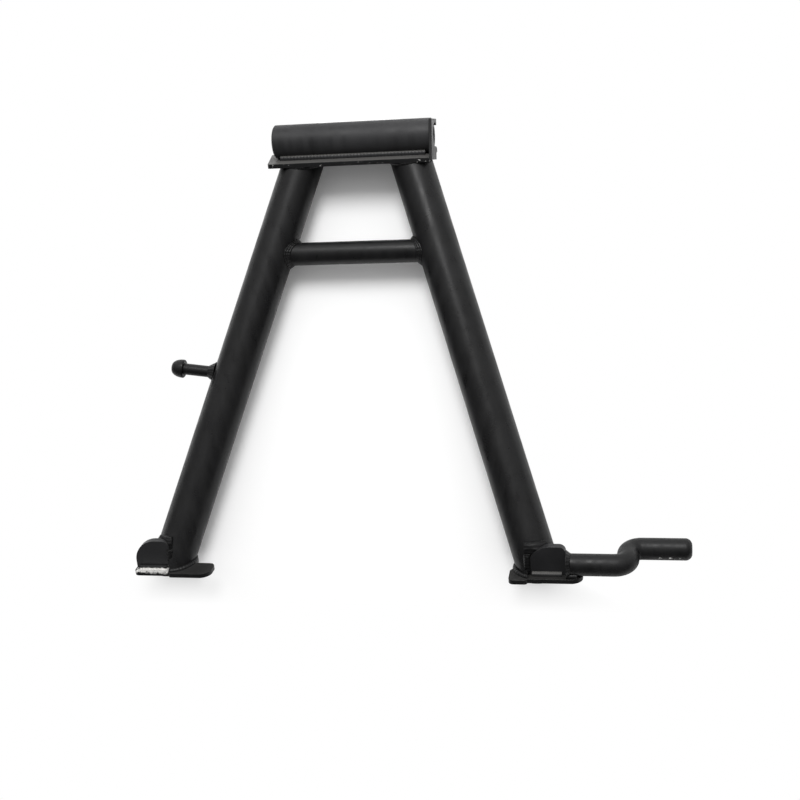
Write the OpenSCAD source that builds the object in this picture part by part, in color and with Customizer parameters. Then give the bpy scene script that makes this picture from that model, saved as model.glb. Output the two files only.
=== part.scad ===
// Centre stand for a motorcycle, welded from steel tube, plate and bar.
// The stand is drawn in its lowered stance. The origin is the middle of the pivot tube's axis.
// +X runs along the pivot towards the foot lever, +Y runs from the feet back towards the pivot,
// and +Z is up. All sizes are in millimetres.

/* [Pivot] */
// Outer diameter of the pivot tube
pivot_od = 23.4; // [21:0.2:26]
// Bore of the pivot tube, which turns on the pivot bolt
pivot_bore = 16.2; // [12:0.1:17]
// Length of the pivot tube
pivot_len = 112.4; // [104:0.2:130]
// Chamfer round both ends of the pivot tube
pivot_chamfer = 0.8; // [0.4:0.1:1.6]
// Thickness of the plate on the lever end of the pivot tube
end_plate_t = 2; // [1:0.5:4]
// Width of the end plate
end_plate_w = 20.6; // [19:0.2:26]
// How far the end plate reaches in front of the pivot axis, at the height of that axis
end_plate_front = 16; // [12:0.5:18]
// Angle by which the end plate's sides lean, with their tops further back
end_plate_lean = 20; // [0:1:25]
// Angle by which the end plate's top and bottom drop towards the back
end_plate_slope = 10; // [0:1:15]
// How far the end plate stands above the tube
end_plate_rise = 1.4; // [0.5:0.1:4]
// Clearance on the radius between the pivot bolt's bore and the hole in the end plate
end_plate_clear = 0.4; // [0.2:0.1:1]

/* [Pivot plate] */
// Thickness of the plate that joins the pivot tube to the legs
plate_t = 3; // [2.5:0.5:6]
// How far the plate's front edge stands out from the leg tubes
plate_ledge = 0.4; // [0.1:0.1:4]
// How far the plate reaches behind the pivot axis
plate_back = 15.4; // [13:0.2:24]
// How far the plate's front edge runs past the free end of the pivot tube
plate_overhang = 1.7; // [0:0.1:8]
// How much further the plate's free end reaches at the back than at the front
plate_flare = 6.6; // [0:0.2:10]
// Size of the cut across the plate's two free corners
plate_corner = 1; // [0.5:0.5:6]

/* [Legs] */
// Outer diameter of a leg tube
leg_od = 28.6; // [25:0.2:30]
// Wall of a leg tube
leg_wall = 2.3; // [1.5:0.1:4]
// Distance from the left leg's outside to the plate's free end, where they meet
leg_margin_left = 6.2; // [2:0.2:12]
// Distance from the right leg's outside to the plate's lever end, where they meet
leg_margin_right = 0.7; // [0.1:0.1:6]
// Angle of a leg outwards from the middle, measured in the plane of the legs
leg_splay = 17.6; // [14:0.1:20]
// Angle by which the plane of the legs leans forward of upright
leg_lean = 26.7; // [20:0.1:30]
// How far the leg axes lie in front of the pivot axis where they meet the pivot plate
leg_forward = 4.1; // [2:0.1:6]
// Height of the pivot axis above the ground
stand_height = 268; // [240:0.2:300]

/* [Cross tube] */
// Outer diameter of the cross tube
cross_od = 16; // [12:0.5:20]
// Wall of the cross tube
cross_wall = 2; // [1:0.5:3]
// Depth of the cross tube's axis below the pivot axis
cross_drop = 73; // [60:0.2:110]

/* [Spring stud] */
// Depth below the pivot axis at which the stud's axis meets the leg's axis
stud_drop = 148.4; // [120:0.2:170]
// Distance from the leg's axis to the tip of the stud
stud_reach = 45.4; // [40:0.2:56]
// Angle by which the stud rises outwards
stud_tilt = 7.4; // [0:0.2:12]
// Diameter of the groove behind the head, where the return spring hooks on
stud_neck_d = 8; // [5:0.2:9]
// Largest diameter of the head
stud_head_d = 13; // [11:0.2:15]
// Length of the head
stud_head_len = 9; // [8:0.2:12]
// Distance from the back of the head to where it is widest
stud_head_back = 1.2; // [0.6:0.2:3]
// Diameter of the flat on the tip
stud_tip_d = 4.8; // [2:0.2:6]

/* [Soles] */
// Thickness of the sole plates
sole_t = 3; // [2:0.5:5]
// Depth of a sole plate from front to back
sole_depth = 16; // [14:0.5:24]
// How far a sole's front edge lies in front of the leg's axis
sole_front = 18.5; // [17:0.1:22]
// How far the left sole reaches inwards from the leg's axis
sole_left_in = 31.4; // [26:0.2:40]
// How far the left sole reaches outwards from the leg's axis
sole_left_out = 23.5; // [22:0.1:30]
// How far the right sole reaches inwards from the leg's axis
sole_right_in = 18.4; // [17:0.1:30]
// How far the right sole reaches outwards from the leg's axis, under the lever
sole_right_out = 29.7; // [26:0.2:36]
// How far a sole's inner end stands in front of the lip before the toe plate
sole_step = 2; // [0.6:0.2:3]
// Radius of a sole's well rounded corners
sole_round = 7.6; // [4:0.2:8]
// Radius of the back corner of the left sole's long inner end
sole_back_round = 4.2; // [2:0.2:6]
// Radius of a sole's other corners
sole_corner = 3.5; // [1:0.5:5]

/* [Toe plates] */
// Width of a toe plate
toe_w = 25; // [22:0.5:30]
// Height of a toe plate above its sole
toe_h = 20.2; // [18:0.2:30]
// Thickness of a toe plate
toe_t = 5; // [4:0.5:8]
// How far a toe plate's face lies behind the sole's front edge
toe_setback = 8.4; // [4:0.2:9]
// How far the left toe plate reaches inwards from the leg's axis
toe_left_in = 1.9; // [0:0.1:6]
// How far the right toe plate reaches inwards from the leg's axis
toe_right_in = 6; // [0:0.1:9]
// Radius of the toe plate's large upper corner
toe_round = 15; // [6:0.5:18]
// Radius of the toe plate's small upper corner
toe_corner = 4.5; // [1:0.5:6]

/* [Foot lever] */
// Diameter of the lever's round bar
lever_d = 14.6; // [12:0.2:16]
// How far the lever's axis lies behind the front edge of the sole
lever_set_in = 9.3; // [6:0.1:12]
// Length of the inner run, from the toe plate to the middle of the bend
lever_run = 39.6; // [30:0.1:60]
// How far the bend carries the bar backwards
lever_offset = 23.2; // [20:0.2:40]
// Radius of the bar's axis in the two bends
lever_bend_r = 9; // [8:0.5:9.5]
// Length of the outer run, from the middle of the bend to the tip
lever_tread = 41.2; // [30:0.1:80]
// Radius round the lever's tip
lever_round = 4.5; // [0.5:0.1:6]

/* [Welds] */
// Size of the beads in the corners between two pieces
weld_w = 2.2; // [1.5:0.1:3]
// Radius of the rounded beads round the ends of the legs
weld_ring = 1.9; // [1.5:0.1:3]
// Length of the tapered bead round the foot of the spring stud
weld_taper = 4.4; // [3:0.2:8]

/* [Hidden] */

$fn = 96;
eps = 0.01;
far = 400;
left = -1;
right = 1;
paint = [0.07, 0.07, 0.075];
bead_paint = [0.1, 0.1, 0.105];

pivot_r = pivot_od / 2;
bore_r = pivot_bore / 2;
plate_top = -pivot_r;
plate_under = plate_top - plate_t;
// Ends of the plate's front edge
plate_free_end = -pivot_len / 2 - plate_overhang;
plate_lever_end = pivot_len / 2;

leg_r = leg_od / 2;
ground = -stand_height;
sole_top = ground + sole_t;
// Sideways and forward travel of a leg for each millimetre that it drops
leg_out_rate = tan(leg_splay) / cos(leg_lean);
leg_fore_rate = tan(leg_lean);
// Half the widths of the level cut through a leg, along the row of the legs and across it
leg_cut_x = leg_r * sqrt(1 - pow(cos(leg_splay) * sin(leg_lean), 2)) / (cos(leg_splay) * cos(leg_lean));
leg_cut_y = leg_r / cos(leg_lean);
// Where the leg axes meet the pivot plate
leg_left_x = plate_free_end + leg_margin_left + leg_cut_x;
leg_right_x = plate_lever_end - leg_margin_right - leg_cut_x;
plate_front = leg_forward + leg_cut_y + plate_ledge;

cross_r = cross_od / 2;
stud_neck_r = stud_neck_d / 2;

sole_front_y = leg_y(sole_top) - sole_front;
toe_face_y = sole_front_y + toe_setback;
toe_back_y = toe_face_y + toe_t;
toe_top = sole_top + toe_h;

lever_r = lever_d / 2;
lever_y = sole_front_y + lever_set_in;
lever_z = sole_top + lever_r;
lever_start = toe_x(right) + toe_w;
lever_mid = lever_start + lever_run;
lever_tip = lever_mid + lever_tread;
lever_link = lever_offset - 2 * lever_bend_r;

// Middle of the bead rings round the legs, a little inside the edge of the leg's level cut
ring_r = leg_cut_x - 0.1;
heel_r = ring_r + weld_ring;

// Where a leg's axis lies at the height z
function leg_x(side, z) =
    (side == right ? leg_right_x : leg_left_x) + side * (plate_under - z) * leg_out_rate;
function leg_y(z) = -leg_forward - (plate_under - z) * leg_fore_rate;

// Where a toe plate's left side lies
function toe_x(side) =
    leg_x(side, sole_top) + (side == right ? -toe_right_in : toe_left_in - toe_w);

// Puts the local -Z axis along a leg, with the local origin where its axis meets the pivot plate
module on_leg(side) {
    translate([leg_x(side, plate_under), leg_y(plate_under), plate_under])
        rotate([-leg_lean, 0, 0])
            rotate([0, -side * leg_splay, 0])
                children();
}

// A round bar of radius r along a leg's axis, longer than the leg at both ends
module leg_bar(side, r) {
    on_leg(side)
        translate([0, 0, -far])
            cylinder(r = r, h = far + 2 * leg_od);
}

// Puts the local Z axis along the spring stud, with the local origin on the leg's axis
module on_stud() {
    translate([leg_x(left, -stud_drop), leg_y(-stud_drop), -stud_drop])
        rotate([0, -90 + stud_tilt, 0])
            children();
}

// A level slab that holds everything between two heights
module level_slab(low, high) {
    translate([-far, -far, low])
        cube([2 * far, 2 * far, high - low]);
}

// A rectangle from [0, 0] to [w, h] whose corners have their own radii, counted from the
// lower left corner and then clockwise
module plate_outline(w, h, radii) {
    corners = [[0, 0], [0, 1], [1, 1], [1, 0]];
    difference() {
        square([w, h]);
        for (i = [0:3])
            if (radii[i] > 0)
                translate([corners[i][0] * w, corners[i][1] * h])
                    mirror([corners[i][0], 0])
                        mirror([0, corners[i][1]])
                            corner_waste(radii[i]);
    }
}

// What is cut off a square corner at the origin to round it
module corner_waste(r) {
    difference() {
        translate([-1, -1])
            square(r + 1);
        translate([r, r])
            circle(r = r);
    }
}

module pivot_tube() {
    half = pivot_len / 2;
    wall_points = [
        [bore_r, -half], [pivot_r - pivot_chamfer, -half], [pivot_r, -half + pivot_chamfer],
        [pivot_r, half - pivot_chamfer], [pivot_r - pivot_chamfer, half], [bore_r, half]
    ];
    color(paint)
        rotate([0, 90, 0])
            rotate_extrude()
                polygon(wall_points);
}

// Plate across the lever end of the tube, which leans like the legs and is open at the bore
module end_plate() {
    top = pivot_r + end_plate_rise;
    bottom = plate_top - plate_t / 2;
    drop = end_plate_w * tan(end_plate_slope);
    lean = tan(end_plate_lean);
    outline = [
        [bottom * lean - end_plate_front, bottom],
        [(bottom - drop) * lean - end_plate_front + end_plate_w, bottom - drop],
        [(top - drop) * lean - end_plate_front + end_plate_w, top - drop],
        [top * lean - end_plate_front, top]
    ];
    color(paint)
        difference() {
            translate([plate_lever_end, 0, 0])
                rotate([90, 0, 90])
                    linear_extrude(end_plate_t)
                        difference() {
                            polygon(outline);
                            circle(r = bore_r + end_plate_clear);
                        }
            leg_bar(right, leg_r);
        }
}

// Flat plate with a slanting free end
module pivot_plate() {
    back_end = plate_free_end - plate_flare;
    slant = plate_flare / (plate_front + plate_back);
    color(paint)
        translate([0, 0, plate_under])
            linear_extrude(plate_t)
                polygon([
                    [plate_free_end + plate_corner, -plate_front],
                    [plate_free_end - plate_corner * slant, -plate_front + plate_corner],
                    [back_end + plate_corner * slant, plate_back - plate_corner],
                    [back_end + plate_corner, plate_back],
                    [plate_lever_end, plate_back],
                    [plate_lever_end, -plate_front]
                ]);
}

// Leg tube, cut level at the pivot plate and at the sole, and cut back flat behind the toe plate
module leg(side) {
    color(paint)
        difference() {
            intersection() {
                leg_bar(side, leg_r);
                level_slab(sole_top, plate_under);
            }
            leg_bar(side, leg_r - leg_wall);
            toe_space(side);
        }
}

module leg_left() {
    leg(left);
}

module leg_right() {
    leg(right);
}

// The room that a toe plate and what lies in front of it take out of a leg
module toe_space(side) {
    translate([toe_x(side), toe_back_y - far, ground])
        cube([toe_w, far, toe_top - ground]);
}

// Cross tube, coped at both ends to the round of the legs
module cross_tube() {
    color(paint)
        difference() {
            cross_bar(cross_r);
            cross_bar(cross_r - cross_wall);
            leg_bar(left, leg_r);
            leg_bar(right, leg_r);
        }
}

// A round bar of radius r from one leg's axis to the other's
module cross_bar(r) {
    span = leg_x(right, -cross_drop) - leg_x(left, -cross_drop);
    translate([leg_x(left, -cross_drop), leg_y(-cross_drop), -cross_drop])
        rotate([0, 90, 0])
            cylinder(r = r, h = span);
}

// Turned stud for the return spring: a mushroom head, a groove and a shank that meets the leg
module spring_stud() {
    head_r = stud_head_d / 2;
    tip_r = stud_tip_d / 2;
    // The back of the head is flat out to here and then rounds over to the widest point
    flat_r = head_r * 0.85;
    back_z = stud_reach - stud_head_len;
    rim_z = back_z + stud_head_back;
    dome_len = stud_reach - rim_z;
    steps = 6;
    // Quarters of ellipses from the flat back to the widest point, and on to the flat tip
    back = [
        for (i = [0:steps - 1])
            let (a = 90 * i / steps)
                [flat_r + (head_r - flat_r) * sin(a), rim_z - stud_head_back * cos(a)]
    ];
    dome = [
        for (i = [0:steps])
            let (a = 90 * i / steps)
                [tip_r + (head_r - tip_r) * cos(a), rim_z + dome_len * sin(a)]
    ];
    profile = concat([[0, 0], [stud_neck_r, 0], [stud_neck_r, back_z]], back, dome, [[0, stud_reach]]);
    color(paint)
        difference() {
            on_stud()
                rotate_extrude()
                    polygon(profile);
            leg_bar(left, leg_r);
        }
}

// Sole plate from x_low to x_high, counted from its leg's axis. The front edge is set back
// outside the lip's end at x_step, and a round heel carries the back half of the leg
module sole(side, x_low, x_high, x_step, radii) {
    forward_low = side == right ? x_low : x_step;
    forward_high = side == right ? x_step : x_high;
    step_r = min(sole_step, sole_corner);
    forward_radii = side == right ? [radii[0], radii[1], 0, step_r] : [step_r, 0, radii[2], radii[3]];
    color(paint)
        translate([leg_x(side, sole_top), sole_front_y, ground])
            linear_extrude(sole_t) {
                translate([x_low, sole_step])
                    plate_outline(x_high - x_low, sole_depth - sole_step, radii);
                translate([forward_low, 0])
                    plate_outline(forward_high - forward_low, sole_depth, forward_radii);
                translate([0, sole_front])
                    circle(r = heel_r);
            }
}

module sole_left() {
    radii = [sole_corner, sole_corner, sole_back_round, sole_round];
    sole(left, -sole_left_out, sole_left_in, toe_left_in, radii);
}

module sole_right() {
    radii = [sole_corner, sole_corner, sole_corner, sole_round];
    sole(right, -sole_right_in, sole_right_out, -toe_right_in, radii);
}

// Upright toe plate on the sole. The same cut piece serves both feet, so its large corner
// is on the left of each
module toe_plate(side) {
    color(paint)
        translate([toe_x(side), toe_back_y, sole_top])
            rotate([90, 0, 0])
                linear_extrude(toe_t)
                    plate_outline(toe_w, toe_h, [0, toe_round, toe_corner, 0]);
}

module toe_plate_left() {
    toe_plate(left);
}

module toe_plate_right() {
    toe_plate(right);
}

// A quarter turn of the lever's bar about the local Z axis, from the local +X side to the +Y side
module lever_elbow() {
    rotate_extrude(angle = 90)
        translate([lever_bend_r, 0])
            circle(r = lever_r);
}

// Round bar that runs outwards, steps back through two tight bends and ends in the tread
module foot_lever() {
    inner_len = lever_run - lever_bend_r;
    outer_len = lever_tread - lever_bend_r;
    color(paint)
        union() {
            translate([lever_start, lever_y, lever_z])
                rotate([0, 90, 0])
                    cylinder(r = lever_r, h = inner_len);
            translate([lever_mid - lever_bend_r, lever_y + lever_bend_r, lever_z])
                rotate([0, 0, -90])
                    lever_elbow();
            translate([lever_mid, lever_y + lever_bend_r, lever_z])
                rotate([-90, 0, 0])
                    cylinder(r = lever_r, h = lever_link);
            translate([lever_mid + lever_bend_r, lever_y + lever_offset - lever_bend_r, lever_z])
                rotate([0, 0, 90])
                    lever_elbow();
            translate([lever_mid + lever_bend_r, lever_y + lever_offset, lever_z])
                rotate([0, 90, 0])
                    lever_end(outer_len);
        }
}

// The outer run of the lever along the local Z axis, with its tip rounded
module lever_end(length) {
    rotate_extrude()
        difference() {
            square([lever_r, length]);
            translate([lever_r, length])
                mirror([1, 0])
                    mirror([0, 1])
                        corner_waste(lever_round);
        }
}

// Bead in the wedge between the pivot tube and the plate, in front (-1) or behind (1)
module weld_pivot(way) {
    bead_r = weld_w * 1.1;
    reach = pivot_r * 0.6;
    run = pivot_len - 4 * weld_w;
    color(bead_paint)
        difference() {
            translate([-run / 2, way * reach, plate_top + bead_r * 0.4])
                rotate([0, 90, 0])
                    cylinder(r = bead_r, h = run);
            translate([-far, 0, 0])
                rotate([0, 90, 0])
                    cylinder(r = pivot_r, h = 2 * far);
            level_slab(plate_top - far, plate_top);
        }
}

module weld_pivot_front() {
    weld_pivot(-1);
}

module weld_pivot_rear() {
    weld_pivot(1);
}

// Rounded ring of weld about a vertical axis, half of it above the level it lies on
module weld_ring_bead(side, z) {
    translate([leg_x(side, z), leg_y(z), z])
        rotate_extrude()
            translate([ring_r, 0])
                circle(r = weld_ring);
}

// Bead round the top of a leg, hardly wider than the pivot plate and ending before the end plate
module weld_leg(side) {
    lap = 0.6;
    end_gap = 1.5;
    low_x = plate_free_end - plate_flare;
    color(bead_paint)
        difference() {
            intersection() {
                weld_ring_bead(side, plate_under);
                translate([low_x, -plate_front - lap, plate_under - leg_od])
                    cube([plate_lever_end - end_gap - low_x, plate_front + plate_back, leg_od]);
            }
            leg_bar(side, leg_r);
        }
}

module weld_leg_left() {
    weld_leg(left);
}

module weld_leg_right() {
    weld_leg(right);
}

// Saddle-shaped bead where the cross tube meets a leg, stepped from one surface to the other
module weld_cross(side) {
    steps = 3;
    color(bead_paint)
        difference() {
            union()
                for (i = [1:steps])
                    intersection() {
                        leg_bar(side, leg_r + weld_w * i / steps);
                        cross_bar(cross_r + weld_w * (steps + 1 - i) / steps);
                    }
            leg_bar(side, leg_r);
            cross_bar(cross_r);
        }
}

module weld_cross_left() {
    weld_cross(left);
}

module weld_cross_right() {
    weld_cross(right);
}

// Tapered bead from the leg's surface to the neck of the spring stud
module weld_stud() {
    root = leg_r - 1;
    color(bead_paint)
        difference() {
            on_stud()
                translate([0, 0, root])
                    cylinder(r1 = stud_neck_r + weld_w * 1.6, r2 = stud_neck_r + 0.3, h = weld_taper + 1);
            leg_bar(left, leg_r);
            on_stud()
                cylinder(r = stud_neck_r, h = stud_reach);
        }
}

// Bead round the bottom of a leg, on the sole and clear of the toe plate
module weld_sole(side) {
    color(bead_paint)
        difference() {
            weld_ring_bead(side, sole_top);
            leg_bar(side, leg_r);
            level_slab(ground - leg_od, sole_top);
            toe_space(side);
        }
}

module weld_sole_left() {
    weld_sole(left);
}

module weld_sole_right() {
    weld_sole(right);
}

// Bead that ties a toe plate to its leg: up the leg's cut edge and along the toe plate's top
module weld_toe(side) {
    edge_x = side == right ? toe_x(right) - 0.3 : toe_x(left) + toe_w + 0.3;
    base = sole_top + weld_ring;
    skin_y = toe_back_y - toe_t * 0.8;
    skin_size = [toe_w + 2 * weld_w, toe_t * 0.8 + weld_w, toe_h + weld_w * 0.7 - weld_ring];
    color(bead_paint)
        difference() {
            union() {
                translate([edge_x, toe_face_y + 0.4, base])
                    cylinder(r = weld_w, h = toe_h * 0.6);
                difference() {
                    intersection() {
                        leg_bar(side, leg_r + weld_w);
                        translate([toe_x(side) - weld_w, skin_y, base])
                            cube(skin_size);
                    }
                    leg_bar(side, leg_r);
                }
            }
            difference() {
                leg_bar(side, leg_r);
                toe_space(side);
            }
            toe_plate(side);
        }
}

module weld_toe_left() {
    weld_toe(left);
}

module weld_toe_right() {
    weld_toe(right);
}

// Bead along the foot of a toe plate, on the lip of the sole
module weld_lip(side) {
    margin = 2.8;
    color(bead_paint)
        difference() {
            translate([toe_x(side) + margin, toe_face_y - 0.3, sole_top + 0.3])
                rotate([0, 90, 0])
                    cylinder(r = weld_w, h = toe_w - 2 * margin);
            translate([-far, toe_face_y, ground])
                cube([2 * far, toe_t, toe_h]);
            level_slab(ground - leg_od, sole_top);
        }
}

module weld_lip_left() {
    weld_lip(left);
}

module weld_lip_right() {
    weld_lip(right);
}

// Bead round the lever where it butts on the toe plate and lies on the end of the sole
module weld_lever() {
    seat_end = leg_x(right, sole_top) + sole_right_out - sole_corner;
    color(bead_paint)
        difference() {
            union() {
                difference() {
                    translate([lever_start, lever_y, lever_z])
                        rotate([0, 90, 0])
                            cylinder(r1 = lever_r + weld_w, r2 = lever_r - 0.4, h = weld_w * 1.6);
                    level_slab(ground - leg_od, sole_top + weld_w * 0.5);
                }
                for (way = [-1, 1])
                    translate([lever_start, lever_y + way * lever_r * 0.62, sole_top + weld_w * 0.5])
                        rotate([0, 90, 0])
                            cylinder(r = weld_w, h = seat_end - lever_start);
            }
            translate([lever_start - eps, lever_y, lever_z])
                rotate([0, 90, 0])
                    cylinder(r = lever_r, h = lever_run);
            level_slab(sole_top - far, sole_top);
        }
}

pivot_tube();
end_plate();
pivot_plate();
leg_left();
leg_right();
cross_tube();
spring_stud();
sole_left();
sole_right();
toe_plate_left();
toe_plate_right();
foot_lever();
weld_pivot_front();
weld_pivot_rear();
weld_leg_left();
weld_leg_right();
weld_cross_left();
weld_cross_right();
weld_stud();
weld_sole_left();
weld_sole_right();
weld_toe_left();
weld_toe_right();
weld_lip_left();
weld_lip_right();
weld_lever();
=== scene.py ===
"""Centre stand: looks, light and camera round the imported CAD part."""

import math

import bpy
from mathutils import Matrix, Vector

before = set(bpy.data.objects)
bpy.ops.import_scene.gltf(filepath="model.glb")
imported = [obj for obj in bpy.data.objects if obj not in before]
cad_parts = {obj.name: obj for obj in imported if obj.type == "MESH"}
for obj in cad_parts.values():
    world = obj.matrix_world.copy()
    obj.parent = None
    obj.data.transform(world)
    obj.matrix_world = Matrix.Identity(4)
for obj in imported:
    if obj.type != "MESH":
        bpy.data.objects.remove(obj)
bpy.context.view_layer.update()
bpy.ops.object.select_all(action="DESELECT")

# Lines of the stand that the paint, the beads and the board follow, in metres

SIDES = ("left", "right")
UP, ACROSS = Vector((0, 0, 1)), Vector((1, 0, 0))
PLATE_UNDERSIDE, CROSS_HEIGHT, SOLE_TOP, SOLE_UNDERSIDE = -0.0147, -0.0730, -0.2650, -0.2680
LEG_TOP = {
    "left": Vector((-0.0365, -0.0041, PLATE_UNDERSIDE)),
    "right": Vector((0.0403, -0.0041, PLATE_UNDERSIDE)),
}
LEG_FOOT = {
    "left": Vector((-0.1254, -0.1300, SOLE_TOP)),
    "right": Vector((0.1292, -0.1300, SOLE_TOP)),
}
PIVOT = Vector((0.0, 0.0, 0.0))
STUD_ROOT = Vector((-0.0840, -0.0713, -0.1484))
STUD_WAY = Vector((-0.9917, 0.0, 0.1288))
LEVER_START = Vector((0.1482, -0.1392, -0.2577))
PLATE_BACK = Vector((0.0, 0.0154, PLATE_UNDERSIDE))
HEEL_BACK = Vector((0.0, -0.1130, SOLE_UNDERSIDE))


def on_leg(side, height):
    """Point of a leg's axis at a height."""
    top, foot = LEG_TOP[side], LEG_FOOT[side]
    return top + (foot - top) * ((top.z - height) / (top.z - foot.z))


def placed(origin, x_way, y_way, z_way):
    """Matrix of an object at a point, with its axes along three directions."""
    return Matrix.Translation(origin) @ Matrix((x_way, y_way, z_way)).transposed().to_4x4()


# Camera, solved from outline points in the photograph

PICTURE_PX = 800
SENSOR_MM = 36.0


def stand_camera(azimuth, elevation, roll, distance, target, focal_px):
    """Camera that looks at a target from angles in degrees, and the point that it stands at."""
    turn, rise, tilt = (math.radians(angle) for angle in (azimuth, elevation, roll))
    back = Vector(
        (math.sin(turn) * math.cos(rise), -math.cos(turn) * math.cos(rise), math.sin(rise))
    )
    right = Vector((math.cos(turn), math.sin(turn), 0.0))
    up = back.cross(right)
    tilted_right = math.cos(tilt) * right - math.sin(tilt) * up
    tilted_up = math.sin(tilt) * right + math.cos(tilt) * up
    data = bpy.data.cameras.new("Camera")
    data.sensor_width = SENSOR_MM
    data.lens = focal_px / PICTURE_PX * SENSOR_MM
    data.clip_start, data.clip_end = 0.05, 20.0
    camera = bpy.data.objects.new("Camera", data)
    eye = Vector(target) + back * distance
    camera.matrix_world = placed(eye, tilted_right, tilted_up, back)
    bpy.context.scene.collection.objects.link(camera)
    bpy.context.scene.camera = camera
    return eye


eye = stand_camera(
    azimuth=12.005, elevation=21.0971, roll=4.8044,
    distance=0.976, target=(0.0177, 0.0, -0.1967), focal_px=1300.0,
)

# Nodes


class Wiring:
    """Nodes of a material or a world, with short ways to add and join them."""

    def __init__(self, tree):
        self.tree = tree

    def join(self, value, socket):
        """Joins an output to a socket, or puts a constant on it."""
        if isinstance(value, bpy.types.NodeSocket):
            self.tree.links.new(value, socket)
        else:
            socket.default_value = value

    def fill(self, node, **values):
        """Joins outputs to a node's sockets, or puts constants on them, with _ for a space."""
        for name, value in values.items():
            self.join(value, node.inputs[name.replace("_", " ")])

    def span(self, value, from_low, from_high, to_low=0.0, to_high=1.0, curve="LINEAR"):
        """A value taken from one range to another and held at the ends."""
        node = self.tree.nodes.new("ShaderNodeMapRange")
        node.interpolation_type = curve
        self.fill(
            node, Value=value, From_Min=from_low, From_Max=from_high, To_Min=to_low, To_Max=to_high
        )
        return node.outputs["Result"]

    def calc(self, operation, a, b=0.0):
        """One of the Math node's operations on one or two values."""
        node = self.tree.nodes.new("ShaderNodeMath")
        node.operation = operation
        self.join(a, node.inputs[0])
        self.join(b, node.inputs[1])
        return node.outputs["Value"]

    def plus(self, a, b):
        return self.calc("ADD", a, b)

    def minus(self, a, b):
        return self.calc("SUBTRACT", a, b)

    def times(self, a, b):
        return self.calc("MULTIPLY", a, b)

    def product(self, factors):
        """All the factors multiplied together."""
        total = factors[0]
        for factor in factors[1:]:
            total = self.times(total, factor)
        return total

    def dot(self, a, b):
        """How far two directions agree: 1 along each other, 0 square to each other."""
        node = self.tree.nodes.new("ShaderNodeVectorMath")
        node.operation = "DOT_PRODUCT"
        self.join(a, node.inputs[0])
        self.join(b, node.inputs[1])
        return node.outputs["Value"]

    def split(self, vector):
        """X, Y and Z of a vector."""
        node = self.tree.nodes.new("ShaderNodeSeparateXYZ")
        self.fill(node, Vector=vector)
        return node.outputs["X"], node.outputs["Y"], node.outputs["Z"]

    def mix(self, share, a, b):
        """Colour a with a share of colour b."""
        node = self.tree.nodes.new("ShaderNodeMix")
        node.data_type = "RGBA"
        self.fill(node, Factor=share, A=a, B=b)
        return node.outputs["Result"]

    def either(self, share, a, b):
        """Shader a with a share of shader b."""
        node = self.tree.nodes.new("ShaderNodeMixShader")
        self.join(share, node.inputs["Fac"])
        self.join(a, node.inputs[1])
        self.join(b, node.inputs[2])
        return node.outputs["Shader"]

    def camera_ray(self):
        """1 where the camera looks straight at a surface, 0 for light and reflections."""
        return self.tree.nodes.new("ShaderNodeLightPath").outputs["Is Camera Ray"]


class Finish(Wiring):
    """A new material, with patterns in the object's coordinates: the stand's frame on a piece."""

    def __init__(self, name):
        self.material = bpy.data.materials.new(name)
        self.material.use_nodes = True
        super().__init__(self.material.node_tree)
        self.surface = self.tree.nodes["Principled BSDF"]
        self.place = self.tree.nodes.new("ShaderNodeTexCoord").outputs["Object"]

    def shifted(self, origin, way, stretch=(1, 1, 1)):
        """Object coordinates counted from a point, with their Z along a direction."""
        centred = self.tree.nodes.new("ShaderNodeVectorMath")
        centred.operation = "SUBTRACT"
        self.join(self.place, centred.inputs[0])
        self.join(origin, centred.inputs[1])
        turned = self.tree.nodes.new("ShaderNodeMapping")
        turned.vector_type = "POINT"
        turn_back = way.normalized().to_track_quat("Z", "Y").inverted().to_euler("XYZ")
        self.fill(turned, Vector=centred.outputs[0], Rotation=turn_back, Scale=stretch)
        return turned.outputs["Vector"]

    def noise(self, kind, place=None):
        """Noise of a kind, given as its lumps in a metre, detail and roughness."""
        scale, detail, rough = kind
        node = self.tree.nodes.new("ShaderNodeTexNoise")
        self.fill(node, Scale=scale, Detail=detail, Roughness=rough, Vector=place or self.place)
        return node.outputs["Fac"]

    def facing(self):
        """The way a face looks."""
        return self.tree.nodes.new("ShaderNodeNewGeometry").outputs["Normal"]

    def rounded(self, radius):
        """The way a face looks, as if each sharp edge had a small radius."""
        node = self.tree.nodes.new("ShaderNodeBevel")
        node.samples = 4
        self.fill(node, Radius=radius)
        return node.outputs["Normal"]

    def bump(self, height, normal, distance, strength):
        """A normal tipped by a height, where a height of 1 is a distance in metres."""
        node = self.tree.nodes.new("ShaderNodeBump")
        self.fill(node, Height=height, Strength=strength, Distance=distance, Normal=normal)
        return node.outputs["Normal"]

    def glow(self, strength):
        """White light given off by the surface."""
        node = self.tree.nodes.new("ShaderNodeEmission")
        self.fill(node, Strength=strength)
        return node.outputs["Emission"]


# Paint: colours are linear, and a noise is its lumps in a metre, detail and roughness

DARK_COAT, LIGHT_COAT = (0.0045, 0.0045, 0.00477), (0.0085, 0.0085, 0.008925)
BAND_COAT = (0.013, 0.013, 0.0135)
THIN_COAT = (0.055, 0.053, 0.051, 1)
SPECK = (0.030, 0.029, 0.028, 1)
# Dust and painted sheen, which lighten faces that look up
DUST_AND_SHEEN = (0.085, 0.083, 0.080, 1)
# Bare steel where paint is worn off, which on the left lip is also a painted highlight
BARE_STEEL_AND_GLINT = (0.86, 0.85, 0.83, 1)

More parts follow.
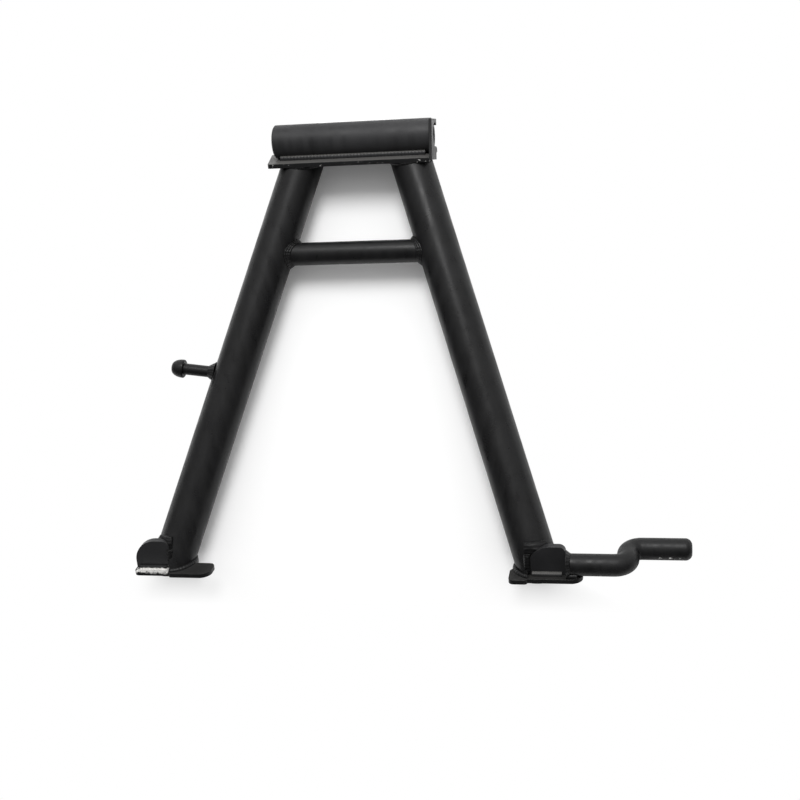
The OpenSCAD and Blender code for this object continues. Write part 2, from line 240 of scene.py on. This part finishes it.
SHADE_DRIFT = (26.0, 3.0, 0.5)
GLOSS_PATCHES = (75.0, 4.0, 0.62)
ORANGE_PEEL = (680.0, 1.5, 0.4)
DUST_SPECKS = (1500.0, 1.0, 0.5)
DUST_AND_SHEEN_FILM = (95.0, 4.0, 0.65)
EDGE_CHIPS = (210.0, 4.0, 0.7)
STEEL_LUMPS = (130.0, 2.0, 0.5)
DRAWN_LINES = (900.0, 2.0, 0.55)
DRAWN_BANDS = (170.0, 2.0, 0.5)
TORN_EDGE = (420.0, 3.0, 0.6)
BEAD_WANDER = (160.0, 2.0, 0.5)

EDGE_RADIUS = 0.0007
LUMP_HEIGHT, LINE_HEIGHT, RIPPLE_HEIGHT, PEEL_HEIGHT = 0.0005, 0.00008, 0.0003, 0.0001
LINE_STRETCH, BAND_STRETCH = (1, 1, 0.03), (1, 1, 0.04)
PAINT_SPECULAR, STEEL_METALLIC, STEEL_ROUGHNESS = 0.24, 0.7, 0.55


def lighter(coat, times):
    """A coat's colour made a number of times lighter."""
    return tuple(part * times for part in coat) + (1,)


def black_paint(name, gloss, lumps, grain=None, ripples=None, grey=1.0, scraped_and_glint=None, dust_and_sheen=0.0):
    """Black paint on steel: orange peel, uneven gloss, dust specks, a thin coat on the edges.

    gloss is the coat's mean roughness, and lumps how uneven the steel under it is. grain is a
    point and a direction, which the faint lines and bands of a drawn tube follow. ripples gives
    the height of a weld's chevrons. grey lightens the coat, as painted light on the parts that
    are given it. scraped_and_glint gives where the paint has come off down to the steel, and on
    the left lip it is also a painted highlight. dust_and_sheen is how much dust and painted sheen
    lie on faces that look up, lightening them."""
    paint = Finish(name)
    specks = paint.noise(DUST_SPECKS)

    # Relief, from large to small
    soft = paint.rounded(EDGE_RADIUS)
    normal = paint.bump(paint.noise(STEEL_LUMPS), soft, LUMP_HEIGHT, strength=0.3 * lumps)
    if grain is not None:
        lines = paint.noise(DRAWN_LINES, paint.shifted(*grain, LINE_STRETCH))
        normal = paint.bump(lines, normal, LINE_HEIGHT, strength=0.25)
    if ripples is not None:
        normal = paint.bump(ripples(paint), normal, RIPPLE_HEIGHT, strength=0.5)
    normal = paint.bump(paint.noise(ORANGE_PEEL), normal, PEEL_HEIGHT, strength=0.25)

    # Coat: its shade drifts, and its gloss is patchy
    shade = paint.span(paint.noise(SHADE_DRIFT), 0.35, 0.65)
    coat = paint.mix(shade, lighter(DARK_COAT, grey), lighter(LIGHT_COAT, grey))
    coat = paint.mix(paint.span(specks, 0.66, 0.74, 0.0, 0.5), coat, SPECK)
    patches = paint.span(paint.noise(GLOSS_PATCHES), 0.3, 0.7, gloss - 0.06, gloss + 0.07)
    dull = paint.plus(patches, paint.span(specks, 0.3, 0.7, -0.03, 0.03))
    if grain is not None:
        bands = paint.noise(DRAWN_BANDS, paint.shifted(*grain, BAND_STRETCH))
        bands = paint.span(bands, 0.36, 0.64)
        coat = paint.mix(paint.times(bands, 0.35), coat, lighter(BAND_COAT, grey))
        dull = paint.plus(dull, paint.span(bands, 0.0, 1.0, -0.06, 0.08))

    # Edges, where the rounded normal leaves the true one and the coat is thin and chipped
    on_edge = paint.span(paint.dot(soft, paint.facing()), 0.995, 0.86)
    worn = paint.times(on_edge, paint.span(paint.noise(EDGE_CHIPS), 0.46, 0.64))
    coat = paint.mix(paint.times(worn, 0.45), coat, THIN_COAT)
    dull = paint.plus(dull, paint.times(worn, 0.12))

    # Painted sheen with dust: faces that look up are lightened, standing in for the bright
    # reflection along them
    if dust_and_sheen:
        looks_up = paint.span(paint.split(paint.facing())[2], 0.4, 0.8)
        thickness = paint.span(paint.noise(DUST_AND_SHEEN_FILM), 0.25, 0.6, 0.6 * dust_and_sheen, dust_and_sheen)
        dust_and_sheen_share = paint.times(looks_up, thickness)
        coat = paint.mix(dust_and_sheen_share, coat, DUST_AND_SHEEN)
        dull = paint.plus(dull, paint.times(dust_and_sheen_share, 0.1))
    # Bare steel where the paint has come off; on the left lip it also stands in for a painted
    # highlight
    if scraped_and_glint is not None:
        steel = scraped_and_glint(paint)
        coat = paint.mix(steel, coat, BARE_STEEL_AND_GLINT)
        dull = paint.times(dull, paint.minus(1.0, steel))
        dull = paint.plus(dull, paint.times(steel, STEEL_ROUGHNESS))
        paint.fill(paint.surface, Metallic=paint.times(steel, STEEL_METALLIC))
    paint.fill(
        paint.surface, Base_Color=coat, Roughness=dull, Normal=normal,
        Specular_IOR_Level=PAINT_SPECULAR,
    )
    return paint.material


def scraped_and_glint_box(low, high, soft, scale, level):
    """Bare steel inside a box of the stand's frame, in patches where a noise is above a level; on
    the left lip it also stands in for a painted highlight.
    The box fades over a soft width, and its sides are ragged."""

    def steel(paint):
        swing = 0.7 * soft
        ragged = paint.span(paint.noise(TORN_EDGE), 0.3, 0.7, -swing, swing)
        parts = []
        for axis, value in enumerate(paint.split(paint.place)):
            for depth in (paint.minus(value, low[axis]), paint.minus(high[axis], value)):
                parts.append(paint.span(paint.plus(depth, ragged), 0.0, soft))
        parts.append(paint.span(paint.noise((scale, 3.0, 0.6)), level, level + 0.08))
        return paint.product(parts)

    return steel


def chevrons(paint, turn):
    """Height of a bead's ripples, from an angle that grows along it, with a little unevenness."""
    wander = paint.times(paint.noise(BEAD_WANDER), 4.0)
    return paint.times(paint.calc("SINE", paint.plus(turn, wander)), 0.5)


def ripples_round(centre, way, radius, pitch):
    """Ripples of a bead that runs round an axis, a whole number of them in its ring."""

    def height(paint):
        x, y, _ = paint.split(paint.shifted(centre, way))
        count = round(2 * math.pi * radius / pitch)
        return chevrons(paint, paint.times(paint.calc("ARCTAN2", y, x), count))

    return height


def ripples_along(axis, pitch):
    """Ripples of a straight bead along X or Z."""

    def height(paint):
        along = paint.split(paint.place)["XYZ".index(axis)]
        return chevrons(paint, paint.times(along, 2 * math.pi / pitch))

    return height


WIDE_RIPPLE, NARROW_RIPPLE = 0.0024, 0.0022

plate_paint = black_paint("Black paint on plates", gloss=0.37, lumps=0.6)
# Painted light: a coat 3.2 times lighter stands in for the bright reflection on the upright toe
# faces
toe_paint = black_paint("Black paint on the toe plates", gloss=0.40, lumps=0.6, grey=3.2)
# Painted highlight: a coat 3 times lighter and heavy painted sheen on faces that look up stand in
# for the bright bands along the pivot welds and the right lip
straight_bead = black_paint(
    "Black paint over straight welds", gloss=0.38, lumps=1.4, grey=3.0, dust_and_sheen=1.4,
    ripples=ripples_along("X", WIDE_RIPPLE),
)
paint_of = {
    # Painted light: a coat 3.6 times lighter than on the legs makes the whole tube brighter
    "pivot_tube": black_paint(
        "Duller black paint on the pivot tube", gloss=0.48, lumps=0.35, grey=3.6,
        grain=(PIVOT, ACROSS),
    ),
    # Painted highlight: a lighter coat, and painted sheen with dust on the top face, stand in for
    # the bright band in front of the tube
    "pivot_plate": black_paint(
        "Black paint on the pivot plate", gloss=0.38, lumps=0.6, grey=1.5, dust_and_sheen=1.4,
        # Front edge
        scraped_and_glint=scraped_and_glint_box(
            (-0.0600, -0.0220, -0.0150), (0.0580, -0.0200, -0.0122),
            soft=0.0006, scale=420.0, level=0.65,
        ),
    ),
    "cross_tube": black_paint(
        "Black paint on the cross tube", gloss=0.36, lumps=0.35,
        grain=(on_leg("left", CROSS_HEIGHT), ACROSS),
    ),
    "foot_lever": black_paint(
        "Black paint on the lever", gloss=0.42, lumps=0.5, grain=(LEVER_START, ACROSS),
        # Spots near the tip, where a boot lands
        scraped_and_glint=scraped_and_glint_box(
            (0.2070, -0.1250, -0.2617), (0.2265, -0.1180, -0.2601),
            soft=0.0004, scale=230.0, level=0.53,
        ),
    ),
    "spring_stud": black_paint("Black paint on the stud", gloss=0.34, lumps=0.3),
    # Faces that look up get a little painted sheen with dust, and the bare steel on the step also
    # stands in for a painted highlight
    "sole_left": black_paint(
        "Black paint on the left sole", gloss=0.36, lumps=0.6, dust_and_sheen=0.2,
        # Step in front of the toe plate
        scraped_and_glint=scraped_and_glint_box(
            (-0.1482, -0.1474, -0.2664), (-0.1238, -0.1400, -0.2600),
            soft=0.0010, scale=180.0, level=0.335,
        ),
    ),
    # A little painted sheen with dust on faces that look up
    "sole_right": black_paint(
        "Black paint on the right sole", gloss=0.36, lumps=0.6, dust_and_sheen=0.25
    ),
    "toe_plate_left": toe_paint,
    "toe_plate_right": toe_paint,
    "weld_pivot_front": straight_bead,
    "weld_pivot_rear": straight_bead,
    "weld_lip_right": straight_bead,
    # Bare steel on the lower half, which also stands in for a painted highlight on the left lip
    "weld_lip_left": black_paint(
        "Black paint over weld_lip_left", gloss=0.36, lumps=1.4,
        # Lower half of the bead
        scraped_and_glint=scraped_and_glint_box(
            (-0.1480, -0.1500, -0.2680), (-0.1240, -0.1400, -0.2638),
            soft=0.0008, scale=180.0, level=0.32,
        ),
    ),
    "weld_stud": black_paint(
        "Black paint over weld_stud", gloss=0.38, lumps=1.4,
        ripples=ripples_round(STUD_ROOT, STUD_WAY, 0.006, NARROW_RIPPLE),
    ),
    "weld_lever": black_paint(
        "Black paint over weld_lever", gloss=0.38, lumps=1.4,
        ripples=ripples_round(LEVER_START, ACROSS, 0.008, WIDE_RIPPLE),
    ),
}
for side in SIDES:
    paint_of["leg_" + side] = black_paint(
        "Black paint on the " + side + " leg", gloss=0.34, lumps=0.4,
        grain=(LEG_FOOT[side], LEG_TOP[side] - LEG_FOOT[side]),
    )
    cross_end = Vector((0, on_leg(side, CROSS_HEIGHT).y, CROSS_HEIGHT))
    for name, gloss, lumps, ripples in (
        ("weld_leg_", 0.38, 1.4, ripples_round(LEG_TOP[side], UP, 0.016, WIDE_RIPPLE)),
        ("weld_sole_", 0.38, 1.4, ripples_round(LEG_FOOT[side], UP, 0.016, WIDE_RIPPLE)),
        ("weld_cross_", 0.34, 1.6, ripples_round(cross_end, ACROSS, 0.009, NARROW_RIPPLE)),
        ("weld_toe_", 0.38, 1.4, ripples_along("Z", WIDE_RIPPLE)),
    ):
        paint_of[name + side] = black_paint(
            "Black paint over " + name + side, gloss, lumps, ripples=ripples
        )

for name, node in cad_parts.items():
    node.data.materials.clear()
    node.data.materials.append(paint_of.get(name, plate_paint))

# Board: the stand lies on its back on it, touching it with the pivot plate and the heels

BOARD_SIZE = 6.0
BOARD_GAP = 0.0004
PAPER_MOTTLE = (3.0, 2.0, 0.5)
PAPER_DARK, PAPER_LIGHT = (0.93, 0.93, 0.93, 1), (0.95, 0.95, 0.95, 1)
PAPER_ROUGHNESS, PAPER_SPECULAR, PAPER_LIFT = 0.9, 0.0, 0.08
CUT_WIDTH, CUT_WIDENING, CUT_MARGIN = 0.002, 1.6, 0.006
SHADE_TOP, SHADE_BOTTOM = 0.01, -0.03

slope = (PLATE_BACK - HEEL_BACK).normalized()
board_normal = ACROSS.cross(slope)
board_centre = (PLATE_BACK + HEEL_BACK) / 2 - board_normal * BOARD_GAP


def on_board(point):
    """Where the camera sees a point against the board, in the board's own X and Y."""
    ray = point - eye
    hit = eye + ray * ((board_centre - eye).dot(board_normal) / ray.dot(board_normal))
    away = hit - board_centre
    return Vector((away.dot(ACROSS), away.dot(slope)))


def shade_kept(paper):
    """1 between the legs, where the picture keeps the shade on the board, and 0 beyond them."""
    across, along, _ = paper.split(paper.place)
    foot_line = min(on_board(foot).y for foot in LEG_FOOT.values())
    # The cut widens under the feet, whose faint shadow was left in
    widening = paper.times(paper.minus(foot_line + CUT_MARGIN, along), CUT_WIDENING)
    widening = paper.calc("MAXIMUM", widening, CUT_WIDTH)
    parts = [paper.span(along, foot_line + SHADE_BOTTOM, foot_line + SHADE_TOP)]
    for side, inwards in (("left", 1), ("right", -1)):
        top, foot = on_board(LEG_TOP[side]), on_board(LEG_FOOT[side])
        run = (top - foot).normalized()
        # Distance from the leg's line on the board, counted towards the other leg
        offset = foot.x * run.y - foot.y * run.x
        reach = paper.minus(
            paper.times(across, run.y), paper.plus(paper.times(along, run.x), offset)
        )
        reach = paper.calc("DIVIDE", paper.times(reach, inwards), widening)
        parts.append(paper.span(reach, -1.0, 0.0))
    return paper.product(parts)


def board_paper():
    """Matt white paper that can't be seen from behind. The camera sees shade on it only between
    the legs, as on a cut-out picture, and elsewhere pure white."""
    paper = Finish("White paper")
    nodes = paper.tree.nodes
    camera_ray = paper.camera_ray()
    paper.fill(
        paper.surface, Base_Color=paper.mix(paper.noise(PAPER_MOTTLE), PAPER_DARK, PAPER_LIGHT),
        Roughness=PAPER_ROUGHNESS, Specular_IOR_Level=PAPER_SPECULAR,
    )
    shaded = nodes.new("ShaderNodeAddShader")
    paper.join(paper.surface.outputs["BSDF"], shaded.inputs[0])
    paper.join(paper.glow(paper.times(camera_ray, PAPER_LIFT)), shaded.inputs[1])
    cut_out = paper.times(camera_ray, paper.minus(1.0, shade_kept(paper)))
    front = paper.either(cut_out, shaded.outputs["Shader"], paper.glow(1.0))
    from_behind = nodes.new("ShaderNodeNewGeometry").outputs["Backfacing"]
    clear = nodes.new("ShaderNodeBsdfTransparent").outputs["BSDF"]
    paper.fill(nodes["Material Output"], Surface=paper.either(from_behind, front, clear))
    return paper.material


bpy.ops.mesh.primitive_plane_add(size=BOARD_SIZE)
board = bpy.context.object
board.name = "Board"
board.matrix_world = placed(board_centre, ACROSS, slope, board_normal)
board.data.materials.append(board_paper())

# Light

STUDIO_TOP = Vector((0.05, -0.05, 1.0)).normalized()
STUDIO_DIM, STUDIO_BRIGHT = 0.16, 1.20
WHITE = (1, 1, 1, 1)


def soft_lamp(name, place, target, size, power):
    """Round lamp of a diameter in metres that is aimed at a target."""
    light = bpy.data.lights.new(name, "AREA")
    light.shape = "DISK"
    light.size = size
    light.energy = power
    lamp = bpy.data.objects.new(name, light)
    lamp.location = place
    lamp.rotation_euler = (Vector(target) - Vector(place)).to_track_quat("-Z", "Y").to_euler()
    bpy.context.scene.collection.objects.link(lamp)


def studio_world():
    """Pale studio, bright overhead and dimmer in front, and white where the camera sees it."""
    world = bpy.data.worlds.new("Studio")
    bpy.context.scene.world = world
    world.use_nodes = True
    studio = Wiring(world.node_tree)
    nodes = studio.tree.nodes
    overhead = studio.dot(nodes.new("ShaderNodeTexCoord").outputs["Generated"], STUDIO_TOP)
    brightness = studio.span(
        overhead, -0.05, 0.95, STUDIO_DIM, STUDIO_BRIGHT, curve="SMOOTHSTEP"
    )
    light, white = nodes["Background"], nodes.new("ShaderNodeBackground")
    studio.fill(light, Color=WHITE, Strength=brightness)
    studio.fill(white, Color=WHITE)
    seen = studio.either(
        studio.camera_ray(), light.outputs["Background"], white.outputs["Background"]
    )
    studio.fill(nodes["World Output"], Surface=seen)


soft_lamp(
    "Overhead lamp", place=(0.05, -0.72, 1.00), target=(0.0, -0.07, -0.14), size=0.60, power=10.5
)
studio_world()
bpy.context.scene.view_settings.view_transform = "Standard"
